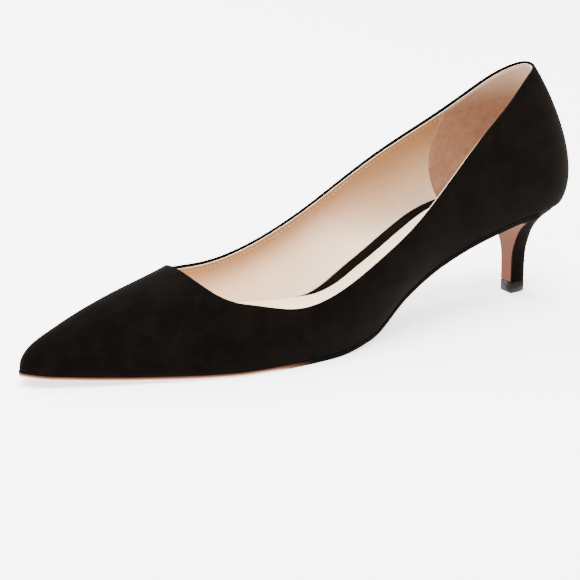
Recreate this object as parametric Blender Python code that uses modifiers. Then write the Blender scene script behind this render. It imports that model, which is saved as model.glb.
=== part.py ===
"""Kitten heel pump, left shoe: one hollow pointed upper with an outsole, heel, top piece, insole and sock.

Sizes are in metres. Sections are worked out along the shoe from the back of the heel seat to the toe tip, with
the outer side positive; the finished pieces are turned so that the toe points to -X and the outer side to -Y.
"""
import bmesh
import bpy
import numpy as np

# Main sizes of the shoe.
LENGTH = 0.2618
BALL_WIDTH = 0.075
HEEL_RISE = 0.039
BACK_HEIGHT = 0.101
SEAT_BACK = 0.0040

# Thicknesses and clearances.
WALL = 0.0018
SOLE = 0.0020
INSOLE = 0.0028
SOCK = 0.0010
GAP = 0.0003
EDGE = 0.0006
EDGE_SHARE = 0.3

# How many gaps a sheet stays back from the wall along a section plane, as the planes fan round at the toe.
CLEARING = 1.8

# Rounding of the plan outline at the seat and at the toe, and how far the section planes fan round there.
SEAT_ROUND = 0.0245
TOE_ROUND = 0.010
SEAT_FAN = 0.0235
TOE_FAN = 0.010

# The throat of the vamp as a share of the length, and the crowding of sections near it and near the toe tip.
THROAT = 0.74
THROAT_CROWD = 2.2
THROAT_SPREAD = 0.007
TIP_CROWD = 4.5
TIP_SPREAD = 0.006

# The heel: front of the breast, middle line and squareness of the stem, and the top piece.
BREAST_FRONT = 0.0293
STEM_CENTRE = 0.0010
STEM_SQUARENESS = 0.75
TOP_PIECE = 0.0050
TOP_PIECE_BACK = 0.0204
TOP_PIECE_HALF = 0.0037

# Counts of sections along the shoe, of steps up a section and across a sole, of turns round the heel and of samples
# that curves are measured with; the lower part of a section that pieces inside the wall are measured on; the weld.
STATIONS = 60
RISES = 12
ACROSS = 3
HEEL_TURNS = 26
SAMPLES = 801
LOWER_PART = 0.6
WELD = 1e-6

# One row for each section: place along as a share of LENGTH; outer and inner half widths at the feather edge as
# shares of BALL_WIDTH; height of the ground side as a share of HEEL_RISE; height of the ridge that the section
# closes on as a share of BACK_HEIGHT; swell of the outer and inner wall beyond the feather edge and reach of the
# shoulder as shares of BALL_WIDTH; height of the fullest part as a share of the section's own height.
SECTION_NAMES = ("along", "outer", "inner", "ground", "ridge", "outer_swell", "inner_swell", "shoulder", "fullness")
SECTION_ROWS = (
    (0.013, 0.262, 0.268, 1.000, 1.196, 0.162, 0.156, 0.046, 0.30),
    (0.100, 0.280, 0.290, 0.985, 1.090, 0.142, 0.134, 0.060, 0.30),
    (0.150, 0.300, 0.307, 0.955, 1.030, 0.120, 0.112, 0.172, 0.32),
    (0.230, 0.324, 0.327, 0.848, 0.925, 0.118, 0.107, 0.257, 0.33),
    (0.305, 0.320, 0.288, 0.660, 0.822, 0.157, 0.194, 0.358, 0.35),
    (0.380, 0.347, 0.264, 0.400, 0.733, 0.180, 0.261, 0.450, 0.37),
    (0.460, 0.413, 0.325, 0.067, 0.634, 0.145, 0.230, 0.500, 0.39),
    (0.535, 0.471, 0.420, 0.000, 0.535, 0.100, 0.155, 0.505, 0.41),
    (0.610, 0.485, 0.487, 0.000, 0.463, 0.073, 0.085, 0.453, 0.42),
    (0.690, 0.467, 0.493, 0.000, 0.405, 0.055, 0.055, 0.313, 0.44),
    (0.740, 0.430, 0.467, 0.008, 0.375, 0.045, 0.045, 0.195, 0.46),
    (0.820, 0.335, 0.367, 0.026, 0.321, 0.038, 0.038, 0.135, 0.46),
    (0.915, 0.205, 0.211, 0.055, 0.237, 0.025, 0.025, 0.080, 0.46),
    (0.960, 0.138, 0.138, 0.074, 0.183, 0.014, 0.014, 0.058, 0.46),
    (1.000, 0.084, 0.084, 0.092, 0.131, 0.007, 0.007, 0.046, 0.46),
)

# The edge of the opening: place along as a share of LENGTH, heights as shares of BACK_HEIGHT. It ends on the ridge
# at the throat.
TOPLINE_NAMES = ("along", "outer", "inner")
TOPLINE_ROWS = (
    (0.035, 1.022, 1.028),
    (0.076, 0.997, 1.004),
    (0.115, 0.951, 0.956),
    (0.153, 0.888, 0.885),
    (0.230, 0.756, 0.762),
    (0.305, 0.618, 0.644),
    (0.380, 0.482, 0.511),
    (0.460, 0.367, 0.383),
    (0.535, 0.280, 0.295),
    (0.610, 0.248, 0.258),
    (0.670, 0.272, 0.275),
    (0.718, 0.312, 0.324),
)

# The line the sections stand on: place along as a share of LENGTH, swing to the outer side as a share of BALL_WIDTH.
SWING_NAMES = ("along", "swing")
SWING_ROWS = (
    (0.000, 0.000),
    (0.300, 0.000),
    (0.500, 0.000),
    (0.740, 0.000),
    (1.000, -0.040),
)

# How far the sock stops short of the insole on each side, as a share of BALL_WIDTH.
SOCK_NAMES = ("along", "outer", "inner")
SOCK_ROWS = (
    (0.000, 0.010, 0.010),
    (0.150, 0.010, 0.080),
    (0.230, 0.010, 0.130),
    (0.330, 0.010, 0.150),
    (0.400, 0.010, 0.142),
    (0.450, 0.010, 0.098),
    (0.500, 0.010, 0.044),
    (0.560, 0.010, 0.010),
    (1.000, 0.010, 0.010),
)

# The outsole where it turns down the breast of the heel, from the plate to the top piece: place along as a share of
# LENGTH and height as a share of the heel's own height above the top piece, on the outside and on the heel's side,
# and half width as a share of BALL_WIDTH.
BREAST_NAMES = ("out_along", "out_height", "in_along", "in_height", "half")
BREAST_ROWS = (
    (0.1400, 0.942, 0.1345, 1.016, 0.290),
    (0.1278, 0.902, 0.1240, 1.014, 0.255),
    (0.1183, 0.822, 0.1140, 0.919, 0.185),
    (0.1132, 0.704, 0.1087, 0.757, 0.122),
    (0.1118, 0.566, 0.1064, 0.595, 0.083),
    (0.1119, 0.410, 0.1062, 0.416, 0.057),
    (0.1119, 0.225, 0.1062, 0.225, 0.049),
    (0.1119, 0.000, 0.1062, 0.000, 0.048),
)

# The heel's levels from the stem to the seat: height as a share of the heel's own height above the top piece, front
# and back as shares of LENGTH, half width as a share of BALL_WIDTH, and how far the outline has opened from the
# stem's to the seat's.
HEEL_NAMES = ("height", "front", "back", "half", "opening")
HEEL_ROWS = (
    (0.000, 0.1050, 0.0780, 0.046, 0.00),
    (0.225, 0.1050, 0.0778, 0.047, 0.00),
    (0.410, 0.1050, 0.0758, 0.055, 0.10),
    (0.554, 0.1050, 0.0725, 0.080, 0.25),
    (0.676, 0.1055, 0.0685, 0.107, 0.40),
    (0.792, 0.1070, 0.0605, 0.142, 0.60),
    (0.884, 0.1098, 0.0472, 0.180, 0.80),
    (0.960, 0.1135, 0.0305, 0.220, 0.93),
    (1.035, 0.1190, 0.0160, 0.258, 1.00),
)

# The pieces' plain colours and roughness.
LOOKS = {
    "black_suede": ((0.012, 0.011, 0.010), 0.95),
    "tan_leather": ((0.52, 0.36, 0.25), 0.55),
    "insole_board": ((0.02, 0.018, 0.016), 0.90),
    "sock_leather": ((0.76, 0.62, 0.48), 0.50),
    "dark_rubber": ((0.03, 0.03, 0.03), 0.60),
}


def table(names, rows):
    """Return the rows as one named column each."""
    values = np.array(rows)
    return {name: values[:, k] for k, name in enumerate(names)}


SECTIONS = table(SECTION_NAMES, SECTION_ROWS)
TOPLINE = table(TOPLINE_NAMES, TOPLINE_ROWS)
SWINGS = table(SWING_NAMES, SWING_ROWS)
SOCKS = table(SOCK_NAMES, SOCK_ROWS)
BREAST = table(BREAST_NAMES, BREAST_ROWS)
HEEL = table(HEEL_NAMES, HEEL_ROWS)


def bend(places, heights, at):
    """Run a natural cubic through the table's places and heights."""
    steps = np.diff(places)
    count = len(places)
    system = np.eye(count)
    sides = np.zeros(count)
    for k in range(1, count - 1):
        system[k, k - 1:k + 2] = steps[k - 1], 2 * (steps[k - 1] + steps[k]), steps[k]
        rise_after = (heights[k + 1] - heights[k]) / steps[k]
        rise_before = (heights[k] - heights[k - 1]) / steps[k - 1]
        sides[k] = 6 * (rise_after - rise_before)
    bends = np.linalg.solve(system, sides)
    k = np.clip(np.searchsorted(places, at) - 1, 0, count - 2)
    past = at - places[k]
    left = places[k + 1] - at
    curve = (bends[k] * left ** 3 + bends[k + 1] * past ** 3) / (6 * steps[k])
    line = (heights[k] / steps[k] - bends[k] * steps[k] / 6) * left
    return curve + line + (heights[k + 1] / steps[k] - bends[k + 1] * steps[k] / 6) * past


def level(places, heights, at):
    """Run a curve through the table that never overshoots it, so that equal rows stay flat."""
    steps = np.diff(places)
    rises = np.diff(heights) / steps
    slopes = np.zeros(len(places))
    same_way = rises[:-1] * rises[1:] > 0
    before = 2 * steps[1:] + steps[:-1]
    after = steps[1:] + 2 * steps[:-1]
    first = np.where(same_way, rises[:-1], 1)
    second = np.where(same_way, rises[1:], 1)
    slopes[1:-1] = np.where(same_way, (before + after) / (before / first + after / second), 0)
    slopes[0] = rises[0]
    slopes[-1] = rises[-1]
    k = np.clip(np.searchsorted(places, at) - 1, 0, len(places) - 2)
    share = (at - places[k]) / steps[k]
    ends = heights[k] * (1 + 2 * share) * (1 - share) ** 2 + heights[k + 1] * share ** 2 * (3 - 2 * share)
    lean = slopes[k] * share * (1 - share) ** 2 + slopes[k + 1] * share ** 2 * (share - 1)
    return ends + steps[k] * lean


def section(name, along):
    """Return one column of the section table at the given lengths, as a share."""
    run = level if name == "ground" else bend
    return run(SECTIONS["along"], SECTIONS[name], np.asarray(along) / LENGTH)


def ground(along):
    """Return the height of the ground side of the sole."""
    return HEEL_RISE * section("ground", along)


def ridge(along):
    """Return the height on which the sections close."""
    return BACK_HEIGHT * section("ridge", along)


def swing(along):
    """Return the swing of the middle line to the outer side."""
    return BALL_WIDTH * bend(SWINGS["along"], SWINGS["swing"], along / LENGTH)


def side_name(side, ending=""):
    """Name the table column of the outer or the inner side."""
    return ("outer" if side > 0 else "inner") + ending


def opening_height(side, along):
    """Return the height of the edge of the opening, which meets the ridge at the throat."""
    places = np.append(TOPLINE["along"], THROAT)
    heights = np.append(TOPLINE[side_name(side)], section("ridge", THROAT * LENGTH))
    return BACK_HEIGHT * bend(places, heights, along / LENGTH)


def quarter_round(share):
    """Return the height of a quarter of an ellipse at a share of its run."""
    return np.sqrt(1 - (1 - np.clip(share, 0, 1)) ** 2)


def half_width(side, along):
    """Return the half width of the feather edge, rounded off at the seat and at the toe."""
    width = BALL_WIDTH * section(side_name(side), along)
    return width * quarter_round((along - SEAT_BACK) / SEAT_ROUND) * quarter_round((LENGTH - along) / TOE_ROUND)


def foot_of(along):
    """Return where on the middle line the section plane of an edge point stands."""
    from_seat = along - SEAT_BACK
    from_toe = LENGTH - along
    seat_shift = np.hypot(from_seat, SEAT_FAN) - from_seat
    toe_shift = np.hypot(from_toe, TOE_FAN) - from_toe
    return along + seat_shift - toe_shift


def station_places():
    """Return the places of the edge points, evenly spaced round the outline and closer near the throat."""
    turn = np.linspace(0, np.pi, SAMPLES)
    along = SEAT_BACK + (LENGTH - SEAT_BACK) * (1 - np.cos(turn)) / 2
    width = (half_width(1, along) + half_width(-1, along)) / 2
    near_throat = (foot_of(along) - THROAT * LENGTH) / THROAT_SPREAD
    near_tip = (LENGTH - along) / TIP_SPREAD
    crowd = 1 + THROAT_CROWD * np.exp(-near_throat ** 2) + TIP_CROWD * np.exp(-near_tip ** 2)
    steps = np.hypot(np.diff(along), np.diff(width)) * (crowd[1:] + crowd[:-1]) / 2
    run = np.append(0, np.cumsum(steps))
    places = np.interp(np.linspace(0, run[-1], STATIONS), run, along)
    throat_place = np.interp(THROAT * LENGTH, foot_of(along), along)
    places[np.abs(places - throat_place).argmin()] = throat_place
    return places


PLACES = station_places()


class Columns:
    """Section planes of one side: each holds the control points of a curve from the feather edge to the ridge."""

    def __init__(self, side, along):
        """Work out the planes and control points at the given edge places."""
        self.side = side
        self.along = along
        self.foot = np.stack([foot_of(along), swing(foot_of(along))], 1)
        edge = np.stack([along, side * half_width(side, along) + swing(along)], 1)
        self.reach = np.linalg.norm(edge - self.foot, axis=1)
        self.way = (edge - self.foot) / self.reach[:, None]
        foot = self.foot[:, 0]
        self.low = ground(along) + SOLE + GAP
        top = ridge(foot)
        step = LENGTH / SAMPLES
        slope = (ridge(foot + step) - ridge(foot - step)) / (2 * step)
        shoulder = BALL_WIDTH * section("shoulder", foot)
        swell = BALL_WIDTH * section(side_name(side, "_swell"), along)
        full = self.low + (top - self.low) * section("fullness", along)
        self.controls = np.stack([
            np.stack([self.reach, self.low], 1),
            np.stack([self.reach + swell, full], 1),
            np.stack([shoulder, top + slope * self.way[:, 0] * shoulder], 1),
            np.stack([np.zeros_like(top), top], 1),
        ])

    def curve(self, share):
        """Return reach and height on each column at its own shares of the curve."""
        u = share[..., None]
        first, second, third, last = (points[:, None] for points in self.controls)
        inner = 3 * second * u * (1 - u) ** 2 + 3 * third * u ** 2 * (1 - u)
        return first * (1 - u) ** 3 + inner + last * u ** 3

    def place(self, reach, height):
        """Return the space points at the given reach and height on each column."""
        flat = self.foot[:, None] + self.way[:, None] * reach[..., None]
        return np.concatenate([flat, height[..., None]], 2)

    def stops(self):
        """Return the share of each curve at which it meets the edge of the opening."""
        share = np.linspace(0, 1, SAMPLES)
        curve = self.curve(np.tile(share, (len(self.along), 1)))
        along = self.foot[:, :1] + self.way[:, :1] * curve[..., 0]
        over = curve[..., 1] - opening_height(self.side, along)
        stop = np.ones(len(self.along))
        for k in np.flatnonzero(self.foot[:, 0] < THROAT * LENGTH - GAP):
            j = np.flatnonzero((over[k, :-1] < 0) & (over[k, 1:] >= 0))[0]
            part = over[k, j] / (over[k, j] - over[k, j + 1])
            stop[k] = share[j] + part * (share[j + 1] - share[j])
        return stop

    def wall(self):
        """Return the grid of points on the outside of the wall."""
        share = np.linspace(0, 1, RISES) * self.stops()[:, None]
        curve = self.curve(share)
        return self.place(curve[..., 0], curve[..., 1])

    def inside_reach(self, height):
        """Return how far out a piece inside the wall may reach at a height on each column."""
        share = np.linspace(0, LOWER_PART, SAMPLES)
        curve = self.curve(np.tile(share, (len(self.along), 1)))
        result = np.zeros(len(self.along))
        for k, (reach, rise) in enumerate(zip(curve[..., 0], curve[..., 1])):
            lean = np.gradient(reach, rise)
            clear = (WALL + CLEARING * GAP) * np.sqrt(1 + lean ** 2)
            result[k] = np.interp(height[k], rise, reach - clear)
        return result


def sides():
    """Return the columns of the outer and the inner side."""
    return Columns(1, PLACES), Columns(-1, PLACES)


def quads(rows, steps, flip):
    """Return the faces of a grid of rows and steps."""
    faces = []
    for i in range(rows - 1):
        for j in range(steps - 1):
            face = (i * steps + j, (i + 1) * steps + j, (i + 1) * steps + j + 1, i * steps + j + 1)
            faces.append(face[::-1] if flip else face)
    return faces


def welded(grids, flips, capped=()):
    """Join grids into one mesh, weld the points they share and close the listed rings."""
    mesh = bmesh.new()
    for grid, flip in zip(grids, flips):
        made = [mesh.verts.new(point) for point in grid.reshape(-1, 3)]
        for face in quads(grid.shape[0], grid.shape[1], flip):
            mesh.faces.new([made[k] for k in face])
    for ring in capped:
        mesh.faces.new([mesh.verts.new(point) for point in ring])
    bmesh.ops.remove_doubles(mesh, verts=mesh.verts, dist=WELD)
    bmesh.ops.dissolve_degenerate(mesh, edges=mesh.edges, dist=WELD)
    return mesh


def meet_at_ends(grids, ends):
    """Let the inner side's grid take the outer side's points where the two meet at the seat or the toe."""
    for end in ends:
        grids[1][end] = grids[0][end]
    return grids


def upper_mesh():
    """Build the outside of the upper as one open sheet."""
    grids = meet_at_ends([columns.wall() for columns in sides()], [0, -1])
    return welded(grids, [True, False])


def edge_of(thick):
    """Return how much of a sheet's edge is rounded off."""
    return min(EDGE, EDGE_SHARE * thick)


def sheet_layers(columns, outline, bottom, thick):
    """Return one side of a sheet: its top, its edge and its underside as a single grid from middle to middle."""
    reach_low, reach_high = outline
    edge = edge_of(thick)
    shares = np.linspace(0, 1, ACROSS + 1)
    layers = []
    for share in shares:
        layers.append((share * (reach_low - edge), 0.0))
    layers.append((reach_low, edge))
    layers.append((reach_high, thick - edge))
    for share in shares[::-1]:
        layers.append((share * (reach_high - edge), thick))
    reach = np.stack([layer[0] for layer in layers], 1)
    lift = np.array([layer[1] for layer in layers])
    along = columns.foot[:, :1] + columns.way[:, :1] * reach
    return columns.place(reach, bottom(along) + lift)


def sheet_mesh(bottom, thick, shortfall):
    """Build a sheet inside the wall with its underside on the given height."""
    grids = []
    for columns in sides():
        short = shortfall(columns)
        low = columns.inside_reach(bottom(columns.along) + edge_of(thick)) - short
        high = columns.inside_reach(bottom(columns.along) + thick - edge_of(thick)) - short
        grids.append(sheet_layers(columns, (low, high), bottom, thick))
    return welded(meet_at_ends(grids, [0, -1]), [False, True])


def insole_bottom(along):
    """Return the height of the underside of the insole."""
    return ground(along) + SOLE + GAP


def sock_bottom(along):
    """Return the height of the underside of the sock."""
    return insole_bottom(along) + INSOLE + GAP


def no_shortfall(columns):
    """Let the insole reach the wall."""
    return np.zeros(len(columns.along))


def sock_shortfall(columns):
    """Return how far the sock stays back from the wall."""
    share = level(SOCKS["along"], SOCKS[side_name(columns.side)], columns.along / LENGTH)
    return BALL_WIDTH * share


def heel_height(share):
    """Return the height at a share of the heel's own height above the top piece."""
    return TOP_PIECE + GAP + share * (HEEL_RISE - TOP_PIECE - GAP)


def outsole_mesh():
    """Build the outsole: a plate under the feather edge that turns down the breast of the heel."""
    grids = []
    out_along = BREAST["out_along"] * LENGTH
    in_along = BREAST["in_along"] * LENGTH
    for columns in sides():
        plate = columns.foot[:, 0] > out_along[0] + 2 * EDGE
        kept = Columns(columns.side, columns.along[plate])
        rows = sheet_layers(kept, (kept.reach, kept.reach), ground, SOLE)
        half = BREAST["half"] * BALL_WIDTH
        shares = np.linspace(0, 1, ACROSS + 1)
        out_reach = [share * (half - EDGE) for share in shares]
        in_reach = out_reach[::-1]
        reach = np.stack(out_reach + [half, half] + in_reach, 1)
        outside = np.array([1.0] * (ACROSS + 1) + [1 - EDGE_SHARE, EDGE_SHARE] + [0.0] * (ACROSS + 1))
        along = out_along[:, None] * outside + in_along[:, None] * (1 - outside)
        rise_out = heel_height(BREAST["out_height"])
        rise_in = heel_height(BREAST["in_height"])
        height = rise_out[:, None] * outside + rise_in[:, None] * (1 - outside)
        middle = STEM_CENTRE * (1 - BREAST["half"] / BREAST["half"].max())
        flap = np.stack([along, columns.side * reach + middle[:, None], height], 2)
        grids.append(np.concatenate([flap[::-1], rows]))
    meet_at_ends(grids, [-1])
    end = np.concatenate([grids[0][0], grids[1][0][::-1][1:-1]])
    return welded(grids, [False, True], [end])


def seat_outline():
    """Return the plan outline of the seat from the outer front corner round the back to the inner one."""
    front = HEEL["front"][-1] * LENGTH
    turn = np.linspace(0, np.pi / 2, SAMPLES)
    along = front - (front - SEAT_BACK) * np.sin(turn)
    outer = half_width(1, along)
    inner = -half_width(-1, along)
    return np.concatenate([np.stack([along, outer], 1), np.stack([along, inner], 1)[::-1][1:]])


def evened(points, count):
    """Space points evenly along a line."""
    run = np.append(0, np.cumsum(np.linalg.norm(np.diff(points, axis=0), axis=1)))
    at = np.linspace(0, run[-1], count)
    return np.stack([np.interp(at, run, points[:, k]) for k in range(2)], 1)


def unit_outlines():
    """Return the seat's and the stem's outline, each one deep and one in half width."""
    seat = evened(seat_outline(), HEEL_TURNS)
    depth = (seat[0, 0] - seat[:, 0]) / (seat[0, 0] - seat[:, 0].min())
    seat_unit = np.stack([depth, seat[:, 1] / np.abs(seat[:, 1]).max()], 1)
    turn = np.linspace(0, np.pi, SAMPLES)
    half = np.sign(np.cos(turn)) * np.abs(np.cos(turn)) ** STEM_SQUARENESS
    stem = np.stack([np.sin(turn) ** STEM_SQUARENESS, half], 1)
    return seat_unit, evened(stem, HEEL_TURNS)


def heel_mesh():
    """Build the heel as levels from the stem to the seat."""
    seat_unit, stem_unit = unit_outlines()
    levels = []
    for height, front, back, half, opening in HEEL_ROWS:
        unit = stem_unit + (seat_unit - stem_unit) * opening
        along = (front - (front - back) * unit[:, 0]) * LENGTH
        across = unit[:, 1] * half * BALL_WIDTH + STEM_CENTRE * (1 - opening)
        rise = np.full(HEEL_TURNS, heel_height(height))
        if opening == 1:
            rise = ground(along) + SOLE
        levels.append(np.stack([along, across, rise], 1))
    grid = np.array([np.concatenate([ring, ring[:1]]) for ring in levels])
    return welded([grid], [False], [levels[0], levels[-1][::-1]])


def top_piece_mesh():
    """Build the top piece as a straight block under the stem."""
    stem_unit = unit_outlines()[1]
    along = BREAST_FRONT - (BREAST_FRONT - TOP_PIECE_BACK) * stem_unit[:, 0]
    across = stem_unit[:, 1] * TOP_PIECE_HALF + STEM_CENTRE
    rings = [np.stack([along, across, np.full(HEEL_TURNS, height)], 1) for height in (0.0, TOP_PIECE)]
    grid = np.array([np.concatenate([ring, ring[:1]]) for ring in rings])
    return welded([grid], [False], [rings[0], rings[1][::-1]])


def material(name):
    """Make one plain material."""
    colour, roughness = LOOKS[name]
    made = bpy.data.materials.new(name)
    made.use_nodes = True
    shader = made.node_tree.nodes["Principled BSDF"]
    shader.inputs["Base Color"].default_value = (*colour, 1.0)
    shader.inputs["Roughness"].default_value = roughness
    return made


def add_piece(name, mesh, look, collection, closed=True):
    """Turn a built mesh into a named object, toe to -X and outer side to -Y."""
    if closed:
        bmesh.ops.recalc_face_normals(mesh, faces=mesh.faces)
    data = bpy.data.meshes.new(name)
    mesh.to_mesh(data)
    mesh.free()
    for vertex in data.vertices:
        along, across, height = vertex.co
        vertex.co = (-along, -across, height)
    data.polygons.foreach_set("use_smooth", [True] * len(data.polygons))
    data.materials.append(look)
    made = bpy.data.objects.new(name, data)
    collection.objects.link(made)
    return made


def centre_on_floor(pieces):
    """Move every piece so that the middle of the whole shoe's box stands over the origin."""
    points = np.concatenate([np.array([vertex.co for vertex in piece.data.vertices]) for piece in pieces])
    middle = (points.min(0) + points.max(0)) / 2
    for piece in pieces:
        for vertex in piece.data.vertices:
            vertex.co = (vertex.co.x - middle[0], vertex.co.y - middle[1], vertex.co.z)


def build():
    """Build every piece of the shoe."""
    for old in list(bpy.data.objects):
        bpy.data.objects.remove(old)
    pump = bpy.data.collections.new("kitten_heel_pump")
    bpy.context.scene.collection.children.link(pump)
    suede = material("black_suede")
    leather = material("tan_leather")
    board = material("insole_board")
    lining = material("sock_leather")
    rubber = material("dark_rubber")
    upper = add_piece("upper", upper_mesh(), suede, pump, closed=False)
    shell = upper.modifiers.new("wall", "SOLIDIFY")
    shell.thickness = WALL
    shell.offset = -1
    shell.use_even_offset = True
    insole = add_piece("insole", sheet_mesh(insole_bottom, INSOLE, no_shortfall), board, pump)
    sock = add_piece("sock", sheet_mesh(sock_bottom, SOCK, sock_shortfall), lining, pump)
    outsole = add_piece("outsole", outsole_mesh(), leather, pump)
    heel = add_piece("heel", heel_mesh(), suede, pump)
    top_piece = add_piece("top_piece", top_piece_mesh(), rubber, pump)
    centre_on_floor([upper, insole, sock, outsole, heel, top_piece])


build()
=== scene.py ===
"""Kitten heel pump, left shoe: suede upper, leather lining, sock and outsole, covered heel and top piece.

Sizes are in metres. A last gives the outside of the upper as a surface of two parameters: a turn that
runs round the plan outline from the toe (-pi) along the inner side, past the seat (0) and along the outer
side to the toe (pi), and a share that runs up each section curve from the feather edge to the ridge.
Toe to -X, outer side to -Y.
"""

import logging
from dataclasses import dataclass, field
from enum import Enum

import bpy
import numpy as np
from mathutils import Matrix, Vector


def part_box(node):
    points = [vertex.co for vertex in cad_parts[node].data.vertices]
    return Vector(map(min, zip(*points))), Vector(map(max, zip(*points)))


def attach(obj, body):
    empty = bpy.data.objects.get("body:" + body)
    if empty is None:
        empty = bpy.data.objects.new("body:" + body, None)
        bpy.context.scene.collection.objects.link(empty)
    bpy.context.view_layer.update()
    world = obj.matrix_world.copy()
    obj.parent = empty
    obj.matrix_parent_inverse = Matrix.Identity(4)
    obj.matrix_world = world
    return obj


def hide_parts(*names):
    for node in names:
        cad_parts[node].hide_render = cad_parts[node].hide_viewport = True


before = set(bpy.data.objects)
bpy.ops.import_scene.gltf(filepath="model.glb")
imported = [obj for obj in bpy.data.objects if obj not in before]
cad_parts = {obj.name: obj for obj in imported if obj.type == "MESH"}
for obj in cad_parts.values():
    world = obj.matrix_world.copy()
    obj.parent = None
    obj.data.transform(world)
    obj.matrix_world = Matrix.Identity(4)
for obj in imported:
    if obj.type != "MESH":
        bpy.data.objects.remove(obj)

LOG = logging.getLogger("kitten_heel_pump")
MM = 0.001
WELD = 1e-7
NEAR = 1e-9


class Side(Enum):
    """The two sides of the shoe."""

    OUTER = 1
    INNER = -1


@dataclass(frozen=True)
class Table:
    """A short table with named columns."""

    names: tuple[str, ...]
    rows: tuple[tuple[float, ...], ...]

    def column(self, name: str) -> np.ndarray:
        """Return one named column."""
        return np.array([row[self.names.index(name)] for row in self.rows])


SECTIONS = Table(
    ("along", "outer", "inner", "ground", "ridge", "outer_swell", "inner_swell", "shoulder", "fullness"),
    (
        (0.013, 0.262, 0.268, 1.000, 1.196, 0.162, 0.156, 0.046, 0.30),
        (0.100, 0.280, 0.290, 0.985, 1.090, 0.142, 0.134, 0.060, 0.30),
        (0.150, 0.300, 0.307, 0.955, 1.030, 0.120, 0.112, 0.172, 0.32),
        (0.230, 0.324, 0.327, 0.848, 0.925, 0.118, 0.107, 0.257, 0.33),
        (0.305, 0.320, 0.288, 0.660, 0.822, 0.157, 0.194, 0.358, 0.35),
        (0.380, 0.347, 0.264, 0.400, 0.733, 0.180, 0.261, 0.450, 0.37),
        (0.460, 0.413, 0.325, 0.067, 0.634, 0.145, 0.230, 0.500, 0.39),
        (0.535, 0.471, 0.420, 0.000, 0.535, 0.100, 0.155, 0.505, 0.41),
        (0.610, 0.485, 0.487, 0.000, 0.463, 0.073, 0.085, 0.453, 0.42),
        (0.690, 0.467, 0.493, 0.000, 0.405, 0.055, 0.055, 0.313, 0.44),
        (0.740, 0.430, 0.467, 0.008, 0.375, 0.045, 0.045, 0.195, 0.46),
        (0.820, 0.335, 0.367, 0.026, 0.321, 0.038, 0.038, 0.135, 0.46),
        (0.915, 0.205, 0.211, 0.055, 0.237, 0.025, 0.025, 0.080, 0.46),
        (0.960, 0.138, 0.138, 0.074, 0.183, 0.014, 0.014, 0.058, 0.46),
        (1.000, 0.084, 0.084, 0.092, 0.131, 0.007, 0.007, 0.046, 0.46),
    ),
)

TOPLINE = Table(
    ("along", "outer", "inner"),
    (
        (0.035, 1.022, 1.028),
        (0.076, 0.997, 1.004),
        (0.115, 0.951, 0.956),
        (0.153, 0.888, 0.885),
        (0.230, 0.756, 0.762),
        (0.305, 0.618, 0.644),
        (0.380, 0.482, 0.511),
        (0.460, 0.367, 0.383),
        (0.535, 0.280, 0.295),
        (0.610, 0.243, 0.258),
        (0.670, 0.270, 0.275),
        (0.718, 0.315, 0.324),
    ),
)

SWINGS = Table(
    ("along", "swing"),
    ((0.000, 0.000), (0.300, 0.000), (0.500, 0.000), (0.740, 0.000), (1.000, -0.040)),
)

SOCKS = Table(
    ("along", "outer", "inner"),
    (
        (0.000, 0.010, 0.010),
        (0.150, 0.010, 0.080),
        (0.230, 0.010, 0.130),
        (0.330, 0.010, 0.150),
        (0.400, 0.010, 0.142),
        (0.450, 0.010, 0.098),
        (0.500, 0.010, 0.044),
        (0.560, 0.010, 0.010),
        (1.000, 0.010, 0.010),
    ),
)

BREAST = Table(
    ("out_along", "out_height", "in_along", "in_height", "half"),
    (
        (0.1400, 0.942, 0.1345, 1.016, 0.290),
        (0.1278, 0.902, 0.1245, 1.014, 0.255),
        (0.1183, 0.822, 0.1155, 0.919, 0.185),
        (0.1132, 0.704, 0.1112, 0.757, 0.122),
        (0.1118, 0.566, 0.1101, 0.595, 0.083),
        (0.1119, 0.410, 0.1101, 0.416, 0.057),
        (0.1119, 0.225, 0.1101, 0.225, 0.049),
        (0.1119, 0.000, 0.1101, 0.000, 0.048),
    ),
)

HEEL = Table(
    ("height", "front", "back", "half", "opening"),
    (
        (0.000, 0.1090, 0.0780, 0.046, 0.00),
        (0.225, 0.1090, 0.0778, 0.047, 0.00),
        (0.410, 0.1090, 0.0758, 0.055, 0.10),
        (0.554, 0.1090, 0.0725, 0.080, 0.25),
        (0.676, 0.1092, 0.0685, 0.107, 0.40),
        (0.792, 0.1100, 0.0590, 0.142, 0.60),
        (0.884, 0.1122, 0.0442, 0.180, 0.80),
        (0.960, 0.1155, 0.0275, 0.222, 0.93),
        (1.035, 0.1190, 0.0154, 0.260, 1.00),
    ),
)


def bend(places: np.ndarray, heights: np.ndarray, at: np.ndarray) -> np.ndarray:
    """Run a natural cubic through a table.

    Args:
        places: The table's places, rising.
        heights: The value at each place.
        at: Where to read the curve.

    Returns:
        The curve's value at each asked place: in each span the cubic whose second derivative runs straight
        between the bends that keep the slope without a jump.
    """
    steps = np.diff(places)
    count = len(places)
    middle = np.arange(1, count - 1)
    system = np.eye(count)
    system[middle, middle - 1] = steps[:-1]
    system[middle, middle] = 2 * (steps[:-1] + steps[1:])
    system[middle, middle + 1] = steps[1:]
    rises = np.diff(heights) / steps
    sides = np.zeros(count)
    sides[1:-1] = 6 * np.diff(rises)
    bends = np.linalg.solve(system, sides)
    k = np.clip(np.searchsorted(places, at) - 1, 0, count - 2)
    past = at - places[k]
    left = places[k + 1] - at
    curve = (bends[k] * left**3 + bends[k + 1] * past**3) / (6 * steps[k])
    line = (heights[k] / steps[k] - bends[k] * steps[k] / 6) * left
    return curve + line + (heights[k + 1] / steps[k] - bends[k + 1] * steps[k] / 6) * past


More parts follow.
